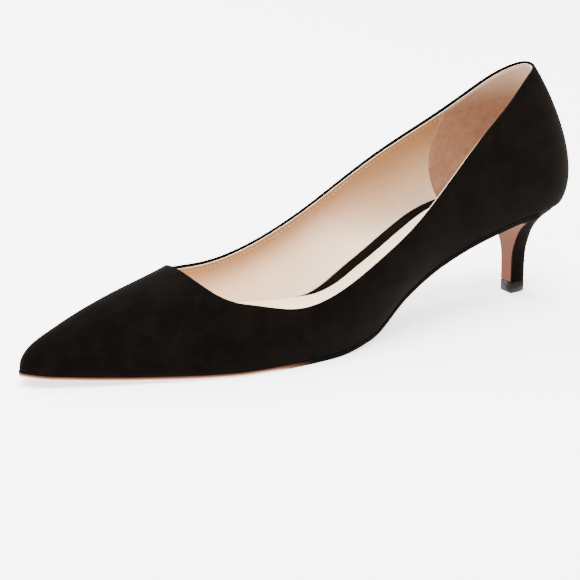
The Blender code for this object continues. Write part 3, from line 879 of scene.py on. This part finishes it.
@dataclass
class Upper:
    """The suede upper with its folded edge, its lining, the stitches along the edge and the heel grip."""

    last: Last
    finishes: Finishes
    rises: int = 44
    behind: int = 150
    ahead: int = 80
    fold_steps: int = 10
    fold_lift: float = 0.3 * MM
    suede_wall: float = 1.25 * MM
    tuck: float = 0.08 * MM
    tuck_height: float = 1.1 * MM
    lining_drop: float = 0.55 * MM
    lining_lean: float = 0.3 * MM
    lining_back: float = 1.3 * MM
    lining_front: float = 1.7 * MM
    edge_rise: float = 0.15 * MM
    edge_steps: int = 7
    crease_ridge: float = 0.6
    # Painted shade on the lining's inside: its strength, its depth below the topline, and how much deeper
    # it runs towards the back.
    shade_share: float = 0.95
    shade_depth: float = 19.0 * MM
    shade_back: float = 1.7
    shade_from: float = 0.43
    shade_run: float = 0.15
    toe_share: float = 0.3
    toe_thin: float = 30.0 * MM
    throat_share: float = 0.3
    throat_thin: float = 10.0 * MM
    stitch_pitch: float = 2.1 * MM
    stitch_length: float = 1.35 * MM
    stitch_radius: float = 0.20 * MM
    stitch_drop: float = 2.4 * MM
    stitch_off: float = 0.02 * MM
    stitch_bow: float = 0.10 * MM
    bead_steps: int = 7
    grip_reach: float = 50.0 * MM
    grip_bulge: float = 3.8 * MM
    grip_lean: float = 1.0 * MM
    grip_thick: float = 0.25 * MM
    grip_drop: float = 0.35 * MM
    grip_sink: float = 0.15 * MM
    grip_foot: float = 0.06
    grip_rim: float = 1 / 30
    grip_top_rim: float = 1 / 20
    grip_edge: float = 0.25
    grip_turns: int = 101
    grip_rises: int = 41
    # Painted highlight on the grip: lighter from this height up, over this rise.
    painted_light_from: float = 80.0 * MM
    painted_light_rise: float = 20.0 * MM
    pieces: list[bpy.types.Object] = field(default_factory=list)

    def skin(self, opening: Opening, throat: float, turn: np.ndarray) -> tuple[np.ndarray, np.ndarray]:
        """Return the outside of the last below an opening.

        Args:
            opening: The edge of the opening.
            throat: The turn of the throat.
            turn: The turns of the stations.

        Returns:
            The points and the ways outward in shoe axes, by station and rise.
        """
        stop = self.last.stop(turn, opening, throat)
        share = stop[:, None] * np.linspace(0, 1, self.rises)
        turns = turn[:, None] + 0 * share
        normals = self.last.normal(turns, share)
        closed = stop == 1
        normals[closed, -1] = unit(normals + normals[::-1])[closed, -1]
        return self.last.point(turns, share), normals

    def thinned(self, turn: np.ndarray) -> np.ndarray:
        """Return the share of its thickness that the upper keeps close to the toe and to the throat."""
        sizes = self.last.sizes
        along = self.last.along_of(turn)
        toe = self.toe_share + (1 - self.toe_share) * ease((sizes.length - along) / self.toe_thin)
        off = (self.last.foot_of(along) - sizes.throat * sizes.length) / self.throat_thin
        return (toe * (1 - (1 - self.throat_share) * np.exp(-(off**2))))[:, None, None]

    def rolled(self, edge: np.ndarray, out: np.ndarray, middle: np.ndarray, half: np.ndarray,
               lift: np.ndarray | float, steps: int) -> np.ndarray:
        """Return a half ellipse over each point of an opening's edge, from outside to inside.

        Args:
            edge: The points of the edge on the outside of the last.
            out: The ways outward.
            middle: How deep below the outside the middle of the roll lies.
            half: Half of the rolled thickness.
            lift: How high the roll stands, square to the edge.
            steps: How many points go round it.

        Returns:
            The points, by station and step.
        """
        closed = np.concatenate([edge[-2:-1], edge, edge[1:2]])
        down = unit(np.cross(out, unit(closed[2:] - closed[:-2])))
        angle = np.linspace(0, np.pi, steps)[None, :, None]
        centre = edge[:, None] - out[:, None] * middle
        return centre + out[:, None] * half * np.cos(angle) - down[:, None] * lift * np.sin(angle)

    def build_suede(self) -> None:
        """Build the suede as one closed shell: outside, folded edge, inside and feather edge."""
        opening = Opening(self.fold_lift)
        throat = self.last.throat_turn(opening)
        turn = self.last.stations(throat, self.behind, self.ahead)
        points, normals = self.skin(opening, throat, turn)
        rise = np.linalg.norm(np.diff(points, axis=1), axis=2).cumsum(1)
        rise = np.concatenate([np.zeros((len(turn), 1)), rise], 1)
        tuck = self.tuck * (1 - ease(rise / self.tuck_height))
        outside = points - normals * tuck[..., None]
        inside = points - normals * self.suede_wall * self.thinned(turn)
        parts = MeshParts()
        to_row = self.last.in_row
        parts.add(to_row(outside))
        parts.add(to_row(inside), flip=True)
        parts.add(to_row(np.stack([outside[:, 0], inside[:, 0]], 1)), flip=True)
        open_part = np.abs(turn) <= throat + NEAR
        thin = self.thinned(turn[open_part])
        half = self.suede_wall / 2 * thin
        edge, out = points[open_part, -1], normals[open_part, -1]
        parts.add(to_row(self.rolled(edge, out, half, half, self.fold_lift * thin, self.fold_steps)))
        self.pieces.append(placed("upper_suede", parts, "black_suede", self.finishes.suede, "upper"))

    def crease_depth(self, points: np.ndarray) -> np.ndarray:
        """Return the depth of the soft creases of the lining at each point.

        Each crease is a trough across a line that leans down the wall, as deep as its bell-shaped section
        allows, with a low ridge on either side.
        """
        length = self.last.sizes.length
        creases = Table(
            ("along", "across", "height", "lean", "width", "long", "deep"),
            (
                (0.560, -0.36, 0.016, -0.25, 1.3, 12.0, 0.26),
                (0.588, -0.40, 0.015, -0.10, 1.1, 10.0, 0.22),
                (0.530, -0.36, 0.018, -0.40, 1.4, 12.0, 0.20),
                (0.400, -0.30, 0.036, 0.55, 1.6, 14.0, 0.22),
                (0.560, 0.38, 0.016, -0.25, 1.3, 12.0, 0.24),
                (0.480, 0.36, 0.022, -0.35, 1.5, 12.0, 0.20),
            ),
        )
        depth = np.zeros(points.shape[:-1])
        for along, across, height, lean, width, run, deep in creases.rows:
            x = points[..., 0] - along * length
            z = points[..., 2] - height
            same_side = np.sign(points[..., 1]) == np.sign(across)
            off = (x - lean * z) / (width * MM)
            reach = z / (run * MM)
            section = np.exp(-(off**2)) * (1 - self.crease_ridge * off**2)
            depth += np.where(same_side, deep * MM * section * np.exp(-(reach**2)), 0)
        return depth

    def painted_shade(self, points: np.ndarray) -> np.ndarray:
        """Return how deeply painted shade darkens the lining: most under the topline, and further down at
        the back.
        """
        below = np.linalg.norm(np.diff(points, axis=1), axis=2)[:, ::-1].cumsum(1)[:, ::-1]
        below = np.concatenate([below, np.zeros((len(points), 1))], 1)
        share = points[..., 0] / self.last.sizes.length
        depth = self.shade_depth * (1 + self.shade_back * ease((self.shade_from - share) / self.shade_run))
        return self.shade_share * (1 - ease(below / depth))

    def build_lining(self) -> None:
        """Build the lining as one closed thin shell inside the suede, a little short of the folded edge."""
        opening = Opening(self.lining_drop, self.lining_lean)
        throat = self.last.throat_turn(opening)
        turn = self.last.stations(throat, self.behind, self.ahead)
        points, normals = self.skin(opening, throat, turn)
        back = points - normals * self.lining_back * self.thinned(turn)
        depth = self.lining_front + self.crease_depth(points)
        front = points - normals * depth[..., None] * self.thinned(turn)
        parts = MeshParts()
        to_row = self.last.in_row
        parts.add(to_row(back))
        # The mark paints shade on the lining's inside, darkest just under the topline.
        parts.add(to_row(front), flip=True, mark=-self.painted_shade(points))
        parts.add(to_row(np.stack([back[:, 0], front[:, 0]], 1)), flip=True)
        open_part = np.abs(turn) <= throat + NEAR
        thin = self.thinned(turn[open_part])
        deep = depth[open_part, -1][:, None, None]
        middle = (self.lining_back + deep) / 2 * thin
        half = (deep - self.lining_back) / 2 * thin
        edge, out = points[open_part, -1], normals[open_part, -1]
        parts.add(to_row(self.rolled(edge, out, middle, half, self.edge_rise, self.edge_steps)), mark=1.0)
        self.pieces.append(placed("lining", parts, "sock_leather", self.finishes.lining))

    def build_stitches(self) -> None:
        """Build the row of stitches along the lining's edge: each is a short bowed bead of thread."""
        opening = Opening(self.stitch_drop, self.lining_lean)
        throat = self.last.throat_turn(opening)
        turn = self.last.stations(throat, 4 * self.behind, self.ahead)
        turn = turn[np.abs(turn) <= throat + NEAR]
        stop = self.last.stop(turn, opening, throat)
        edge = self.last.point(turn, stop)
        out = self.last.normal(turn, stop)
        run = np.append(0, np.linalg.norm(np.diff(edge, axis=0), axis=1).cumsum())
        count = int(run[-1] / self.stitch_pitch)
        at = (np.arange(count) + 0.5) * run[-1] / count
        bead = np.linspace(-1, 1, self.bead_steps)
        place = at[:, None] + bead * self.stitch_length / 2
        line = np.stack([np.interp(place, run, edge[:, k]) for k in range(3)], -1)
        away = unit(np.stack([np.interp(place, run, out[:, k]) for k in range(3)], -1))
        along = unit(np.gradient(line, axis=1))
        cross = unit(np.cross(away, along))
        thin = np.interp(place, run, self.thinned(turn)[:, 0, 0])
        lift = self.lining_front * thin + self.stitch_off - self.stitch_bow * (1 - bead**2)[None]
        centre = line - away * lift[..., None]
        radius = self.stitch_radius * np.sqrt(np.clip(1 - bead**2, 0, 1))
        angle = np.linspace(0, 2 * np.pi, self.bead_steps + 2)
        ring = radius[None, :, None, None] * (
            cross[:, :, None] * np.cos(angle)[:, None] + away[:, :, None] * np.sin(angle)[:, None]
        )
        beads = self.last.in_row(centre[:, :, None] + ring)
        parts = MeshParts()
        for grid in beads:
            parts.add(grid)
        self.pieces.append(placed("edge_stitches", parts, "sock_leather", self.finishes.thread))

    def build_grip(self) -> None:
        """Build the heel grip: a thin patch on the lining whose front edges bulge towards the toe."""
        opening = Opening(self.lining_drop + self.grip_drop, self.lining_lean)
        throat = self.last.throat_turn(opening)
        around = np.linspace(-1, 1, self.grip_turns)[:, None]
        up = np.linspace(0, 1, self.grip_rises)[None]
        reach = self.grip_reach + self.grip_bulge * np.sin(np.pi * up) + self.grip_lean * up
        sizes = self.last.sizes
        end = np.arccos(1 - 2 * (reach - sizes.seat_back) / (sizes.length - sizes.seat_back))
        turn = around * end
        stop = self.last.stop(turn, opening, throat)
        share = stop * (self.grip_foot + (1 - self.grip_foot) * up)
        points = self.last.point(turn, share)
        normals = self.last.normal(turn, share)
        side_rim = np.minimum((1 - np.abs(around)) / self.grip_rim, 1)
        rim = side_rim * np.minimum((1 - up) / self.grip_top_rim, 1)
        thick = self.grip_thick * (self.grip_edge + (1 - self.grip_edge) * np.sqrt(rim))
        front = points - normals * (self.lining_front + thick)[..., None]
        back = points - normals * (self.lining_front - self.grip_sink)
        parts = MeshParts()
        to_row = self.last.in_row
        # The mark paints the grip lighter towards its top, where light falls on it.
        parts.add(to_row(front), flip=True, mark=ease((points[..., 2] - self.painted_light_from) / self.painted_light_rise))
        parts.add(to_row(back))
        for first, second in ((front[0], back[0]), (back[-1], front[-1])):
            parts.add(to_row(np.stack([first, second], 0)))
        for first, second in ((front[:, 0], back[:, 0]), (back[:, -1], front[:, -1])):
            parts.add(to_row(np.stack([first, second], 1)))
        self.pieces.append(placed("heel_grip", parts, "sock_leather", self.finishes.grip))

    def build(self) -> None:
        """Build every piece of the upper."""
        self.build_suede()
        self.build_lining()
        self.build_stitches()
        self.build_grip()


@dataclass
class Footbed:
    """The covered insole and the leather sock on it."""

    last: Last
    finishes: Finishes
    across: int = 22
    behind: int = 110
    ahead: int = 60
    round_steps: int = 9
    inset: float = 2.35 * MM
    insole_edge: float = 0.7 * MM
    sock_edge: float = 0.42 * MM
    sock_crown: float = 0.25 * MM
    pieces: list[bpy.types.Object] = field(default_factory=list)

    def sheet(self, bottom: float, thick: float, edge: float, short: np.ndarray, turn: np.ndarray,
              crown: float) -> MeshParts:
        """Return a sheet on the last's bottom line, with a rounded edge.

        Each station's profile runs from the middle of the underside out to the edge, round it on a half
        ellipse and back to the middle of the top, which rises by a crown on a cosine.

        Args:
            bottom: The height of the underside over the ground side.
            thick: The sheet's thickness.
            edge: How far in the rounded edge begins.
            short: How far the sheet stays back from the wall at each station.
            turn: The stations' turns.
            crown: How far the middle of the top stands above the edge.

        Returns:
            The grids of the sheet.
        """
        last = self.last
        foot, way, _ = last.plane(turn)
        along = last.along_of(turn)
        middle_height = last.ground(along) + bottom + thick / 2
        reach = last.inside_reach(turn, middle_height, self.inset) - short
        inner = np.linspace(0, 1, self.across)[None] * (reach - edge)[:, None]
        angle = np.linspace(-np.pi / 2, np.pi / 2, self.round_steps)[None, 1:-1]
        round_reach = (reach - edge)[:, None] + edge * np.cos(angle)
        lift_round = thick / 2 * (1 + np.sin(angle)) + 0 * round_reach
        share = inner / (reach - edge)[:, None]
        top = thick + crown * (np.cos(np.pi / 2 * share))
        reaches = np.concatenate([inner, round_reach, inner[:, ::-1]], 1)
        lifts = np.concatenate([0 * inner, lift_round, top[:, ::-1]], 1)
        flat = foot[:, None] + way[:, None] * reaches[..., None]
        height = last.ground(flat[..., 0]) + bottom + lifts
        parts = MeshParts()
        mark = np.concatenate([0 * inner, np.ones_like(round_reach), 0 * inner], 1)
        parts.add(last.in_row(np.concatenate([flat, height[..., None]], -1)), mark=mark)
        return parts

    def build(self) -> None:
        """Build the insole and the sock."""
        last, sizes = self.last, self.last.sizes
        throat = last.throat_turn(Opening(0.0))
        turn = last.stations(throat, self.behind, self.ahead)
        bottom = sizes.sole + sizes.gap
        board = self.sheet(bottom, sizes.insole, self.insole_edge, np.zeros(len(turn)), turn, 0.0)
        insole = placed("insole_cover", board, "insole_board", self.finishes.insole_suede, "insole")
        share = last.along_of(turn) / sizes.length
        places = SOCKS.column("along")
        outer = level(places, SOCKS.column("outer"), share)
        inner = level(places, SOCKS.column("inner"), share)
        short = sizes.ball_width * np.where(turn > 0, outer, inner)
        bottom += sizes.insole + sizes.gap
        leather = self.sheet(bottom, sizes.sock, self.sock_edge, short, turn, self.sock_crown)
        sock = placed("sock_leather", leather, "sock_leather", self.finishes.sock, "sock")
        self.pieces = [insole, sock]


@dataclass
class Bottom:
    """The outsole with its breast flap, the covered heel and the top piece."""

    last: Last
    finishes: Finishes
    across: int = 14
    round_steps: int = 5
    cap_steps: int = 9
    stained_steps: int = 2
    raised: float = 0.24 * MM
    plate_behind: int = 130
    plate_ahead: int = 90
    flap_rows: int = 90
    edge: float = 0.22 * MM
    tip_lip: float = 0.5 * MM
    tip_turn: float = 0.12
    rim_from: float = 0.60
    rim_run: float = 0.30
    flap_stain: float = 0.9
    waist_end: float = 0.575
    natural_from: float = 0.66
    levels: int = 90
    turns: int = 121
    squareness: float = 0.75
    bevel: float = 0.35 * MM
    pieces: list[bpy.types.Object] = field(default_factory=list)

    def heel_height(self, share: np.ndarray) -> np.ndarray:
        """Return the height at a share of the heel's own height above the top piece."""
        sizes = self.last.sizes
        return sizes.top_piece + sizes.gap + share * (sizes.heel_rise - sizes.top_piece - sizes.gap)

    def profile(self, reach: np.ndarray) -> tuple[np.ndarray, np.ndarray, np.ndarray]:
        """Return the closed half profile of the sole at each station.

        Args:
            reach: The reach of the edge at each station.

        Returns:
            For each profile point, from the middle of the underside round the edge to the middle of the
            top: its reach, its share of the thickness, and 1 on the edge and beside it, 0 elsewhere.
        """
        inner = np.linspace(0, 1, self.across)[None] * (reach - self.edge)[:, None]
        angle = np.linspace(0, np.pi / 2, self.round_steps)[None, 1:]
        low = (reach - self.edge)[:, None] + self.edge * np.sin(angle)
        rise = np.broadcast_to(self.edge / self.last.sizes.sole * (1 - np.cos(angle)), low.shape)
        reaches = np.concatenate([inner, low, low[:, ::-1], inner[:, ::-1]], 1)
        shares = np.concatenate([0 * inner, rise, 1 - rise[:, ::-1], 1 + 0 * inner], 1)
        covered = 0 * inner + (np.arange(self.across) < self.stained_steps)
        mark = np.concatenate([0 * inner + (np.arange(self.across) == self.across - 1), np.ones_like(low),
                               np.ones_like(low), covered], 1)
        return reaches, shares, mark

    def edge_tone(self, along: np.ndarray, shares: np.ndarray) -> np.ndarray:
        """Return the tone of the sole's edge: natural under the forepart, dark at the waist and the rim.

        Args:
            along: The place of each station.
            shares: The share of the thickness of each profile point.

        Returns:
            1 where the edge is natural leather, down to -1 where it is stained.
        """
        length = self.last.sizes.length
        waist = ease((along[:, None] / length - self.waist_end) / (self.natural_from - self.waist_end))
        rim = 1 - ease((shares - self.rim_from) / self.rim_run)
        return 2 * waist * rim - 1

    def build_outsole(self) -> None:
        """Build the outsole: a plate under the feather edge that turns down the breast of the heel."""
        last, sizes = self.last, self.last.sizes
        throat = last.throat_turn(Opening(0.0))
        turns = last.stations(throat, self.plate_behind, self.plate_ahead)
        start = BREAST.column("out_along")[0] * sizes.length + 2 * self.edge
        parts = MeshParts()
        for side in Side:
            turn = np.sort(turns[turns * side.value > 0] * side.value)
            turn = turn[last.foot_of(last.along_of(turn)) > start] * side.value
            foot, way, reach = last.plane(turn)
            reach = reach + self.tip_lip * np.exp(-(((np.pi - np.abs(turn)) / self.tip_turn) ** 2))
            reaches, shares, mark = self.profile(reach)
            flat = foot[:, None] + way[:, None] * reaches[..., None]
            mark = mark * self.edge_tone(last.along_of(turn), shares)
            height = last.ground(flat[..., 0]) + shares * (sizes.sole + self.raised)
            plate = np.concatenate([flat, height[..., None]], -1)
            step = np.arange(len(BREAST.rows), dtype=float)
            at = np.linspace(0, step[-1], self.flap_rows)
            row = {name: bend(step, BREAST.column(name), at) for name in BREAST.names}
            half = row["half"] * sizes.ball_width
            flap_reach, flap_share, flap_mark = self.profile(half)
            out = 1 - flap_share
            along = sizes.length * (row["out_along"][:, None] * out + row["in_along"][:, None] * (1 - out))
            rise_out = self.heel_height(row["out_height"])[:, None]
            rise_in = self.heel_height(row["in_height"])[:, None]
            centre = sizes.stem_centre * (1 - row["half"] / row["half"].max())
            across = side.value * flap_reach + centre[:, None]
            flap = np.stack([along, across, rise_out * out + rise_in * (1 - out)], -1)
            grid = np.concatenate([flap[::-1], plate])
            marks = np.concatenate([-self.flap_stain * flap_mark[::-1], mark])
            parts.add(last.in_row(grid), flip=side is Side.INNER, mark=marks)
            middle = grid.shape[1] // 2
            end = np.stack([grid[0, :middle], grid[0, ::-1][:middle]], 0)
            parts.add(last.in_row(end), flip=side is Side.OUTER)
        leather = self.finishes.outsole
        self.pieces.append(placed("outsole_leather", parts, "tan_leather", leather, "outsole"))

    def evened(self, points: np.ndarray) -> np.ndarray:
        """Space points evenly along a line."""
        run = np.append(0, np.cumsum(np.linalg.norm(np.diff(points, axis=0), axis=1)))
        at = np.linspace(0, run[-1], self.turns)
        return np.stack([np.interp(at, run, points[:, k]) for k in range(2)], 1)

    def unit_outlines(self) -> tuple[np.ndarray, np.ndarray]:
        """Return the seat's and the stem's plan outline, each one deep and one in half width.

        The seat's follows the feather edge from the outer front corner round the back to the inner one. The
        stem's is half a ring whose sine and cosine are raised to the squareness.
        """
        last, sizes = self.last, self.last.sizes
        front = HEEL.column("front")[-1] * sizes.length
        end = np.arccos(1 - 2 * (front - sizes.seat_back) / (sizes.length - sizes.seat_back))
        turn = np.linspace(end, -end, last.SAMPLES)
        across = np.sign(turn) * last.half_width(turn)
        seat = self.evened(np.stack([last.along_of(turn), across], 1))
        depth = (seat[0, 0] - seat[:, 0]) / (seat[0, 0] - seat[:, 0].min())
        seat_unit = np.stack([depth, seat[:, 1] / np.abs(seat[:, 1]).max()], 1)
        angle = np.linspace(0, np.pi, last.SAMPLES)
        half = np.sign(np.cos(angle)) * np.abs(np.cos(angle)) ** self.squareness
        return seat_unit, self.evened(np.stack([np.sin(angle) ** self.squareness, half], 1))

    def capped(self, rings: np.ndarray) -> MeshParts:
        """Return stacked rings as a closed body: the wall, and each end drawn together to its middle."""
        parts = MeshParts()
        parts.add(self.last.in_row(rings))
        for ring, top in ((rings[0], False), (rings[-1], True)):
            middle = ring[:-1].mean(0)
            shares = np.linspace(1, 0, self.cap_steps)[:, None, None]
            parts.add(self.last.in_row(middle + shares * (ring - middle)), flip=not top)
        return parts

    def build_heel(self) -> None:
        """Build the heel: outlines that open from the stem's to the seat's, stacked on smooth curves."""
        sizes = self.last.sizes
        seat_unit, stem_unit = self.unit_outlines()
        rows = HEEL.column("height")
        height = np.linspace(rows[0], rows[-1], self.levels)
        front, back, half, opening = (level(rows, HEEL.column(name), height) for name in HEEL.names[1:])
        unit_ring = stem_unit + (seat_unit - stem_unit) * opening[:, None, None]
        along = (front[:, None] - (front - back)[:, None] * unit_ring[..., 0]) * sizes.length
        across = unit_ring[..., 1] * half[:, None] * sizes.ball_width
        across += sizes.stem_centre * (1 - opening[:, None])
        rise = self.heel_height(height)[:, None] + 0 * along
        seat = self.last.ground(along) + sizes.sole + self.raised
        blend = ease((height - rows[-2]) / (rows[-1] - rows[-2]))[:, None]
        rise = rise + blend * (seat - self.heel_height(rows[-1]))
        rings = np.stack([along, across, rise], -1)
        rings = np.concatenate([rings, rings[:, :1]], 1)
        suede = self.finishes.heel_suede
        self.pieces.append(placed("heel_cover", self.capped(rings), "heel_suede", suede, "heel"))

    def build_top_piece(self) -> None:
        """Build the top piece: the stem's outline carried down, with both rims bevelled."""
        sizes = self.last.sizes
        stem_unit = self.unit_outlines()[1]
        angle = np.linspace(0, np.pi / 2, self.round_steps)
        low = self.bevel * (1 - np.sin(angle))
        high = low[::-1] / 2
        heights = np.concatenate([self.bevel * (1 - np.cos(angle)), sizes.top_piece - high])
        insets = np.concatenate([low, high])
        depth = sizes.breast_front - sizes.top_piece_back
        scale_along = 1 - 2 * insets / depth
        scale_across = 1 - insets / sizes.top_piece_half
        centre = sizes.breast_front - depth / 2
        along = centre + (0.5 - stem_unit[:, 0])[None] * depth * scale_along[:, None]
        across = stem_unit[:, 1][None] * sizes.top_piece_half * scale_across[:, None] + sizes.stem_centre
        rings = np.stack([along, across, heights[:, None] + 0 * along], -1)
        rings = np.concatenate([rings, rings[:, :1]], 1)
        parts, rubber = self.capped(rings), self.finishes.rubber
        self.pieces.append(placed("top_piece_rubber", parts, "dark_rubber", rubber, "top_piece"))

    def build(self) -> None:
        """Build every piece of the bottom."""
        self.build_outsole()
        self.build_heel()
        self.build_top_piece()


@dataclass(frozen=True)
class Studio:
    """The pale floor, the soft lights and the camera at the photograph's angle."""

    target: tuple[float, float, float] = (108.12 * MM, -51.54 * MM, -0.2 * MM)
    back: tuple[float, float, float] = (-0.5048, -0.8079, 0.3040)
    distance: float = 1.0
    lens_pixels: float = 2271.0
    frame_pixels: float = 580.0
    sensor: float = 36.0
    floor_half: float = 3.0
    world: float = 0.40
    floor_glow: float = 2.2
    floor_rough: tuple[float, float] = (0.8, 0.9)

    def build_camera(self, last: Last) -> None:
        """Stand the camera off along its way back from the point that it is aimed at.

        Args:
            last: The last, for turning the aimed point to the row frame.
        """
        aim = last.in_row(np.array(self.target))
        back = Vector(self.back).normalized()
        data = bpy.data.cameras.new("camera")
        data.sensor_width = self.sensor
        data.lens = self.lens_pixels / self.frame_pixels * self.sensor
        camera = bpy.data.objects.new("camera", data)
        camera.location = Vector(aim) + back * self.distance
        camera.rotation_euler = back.to_track_quat("Z", "Y").to_euler()
        bpy.context.scene.collection.objects.link(camera)
        bpy.context.scene.camera = camera

    def build_floor(self) -> None:
        """Lay the pale floor as a flat grid."""
        line = np.linspace(-self.floor_half, self.floor_half, 3)
        grid = np.stack(np.meshgrid(line, line, indexing="ij"), -1)
        grid = np.concatenate([grid, np.zeros((3, 3, 1))], -1)
        parts = MeshParts()
        parts.add(grid, flip=True)
        floor = bpy.data.objects.new("floor", parts.mesh("floor"))
        bpy.context.scene.collection.objects.link(floor)
        shader = Shader("pale floor")
        cloud = shader.noise(3.0, 2.0)
        colour = shader.mix(cloud, (0.93, 0.93, 0.93), (0.95, 0.95, 0.95))
        relief = shader.bump(cloud, 0.01 * MM, 0.1)
        shader.set(Specular_IOR_Level=0.1, Emission_Color=(1, 1, 1, 1), Emission_Strength=self.floor_glow)
        rough = shader.between(cloud, (0.0, 1.0), self.floor_rough)
        floor.data.materials.append(shader.finish(colour, rough, relief))

    def build_lights(self) -> None:
        """Hang the soft lights round the shoe."""
        lights = Table(
            ("x", "y", "z", "size", "watt"),
            (
                (0.15, 1.30, 1.35, 1.2, 80.0),
                (0.00, -0.20, 1.60, 1.3, 105.0),
                (-0.70, -1.00, 1.30, 1.2, 16.0),
            ),
        )
        for k, (x, y, z, size, watt) in enumerate(lights.rows):
            data = bpy.data.lights.new(f"soft_{k}", "AREA")
            data.size = size
            data.energy = watt
            lamp = bpy.data.objects.new(f"soft_{k}", data)
            lamp.location = (x, y, z)
            lamp.rotation_euler = Vector((x, y, z)).to_track_quat("Z", "Y").to_euler()
            bpy.context.scene.collection.objects.link(lamp)
        world = bpy.data.worlds.new("studio")
        world.use_nodes = True
        world.node_tree.nodes["Background"].inputs["Color"].default_value = (1.0, 1.0, 1.0, 1.0)
        world.node_tree.nodes["Background"].inputs["Strength"].default_value = self.world
        bpy.context.scene.world = world

    def build(self, last: Last) -> None:
        """Build the whole studio."""
        self.build_camera(last)
        self.build_floor()
        self.build_lights()


def main() -> None:
    """Build the shoe piece by piece, then the studio, and note the sizes."""
    logging.basicConfig(level=logging.INFO, format="%(name)s %(message)s")
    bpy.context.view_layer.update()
    last = Last(ShoeSizes())
    finishes = Finishes()
    Studio().build(last)
    for assembly in (Upper(last, finishes), Footbed(last, finishes), Bottom(last, finishes)):
        assembly.build()
        LOG.info("%s: %d pieces", type(assembly).__name__, len(assembly.pieces))


if __name__ == "__main__":
    main()
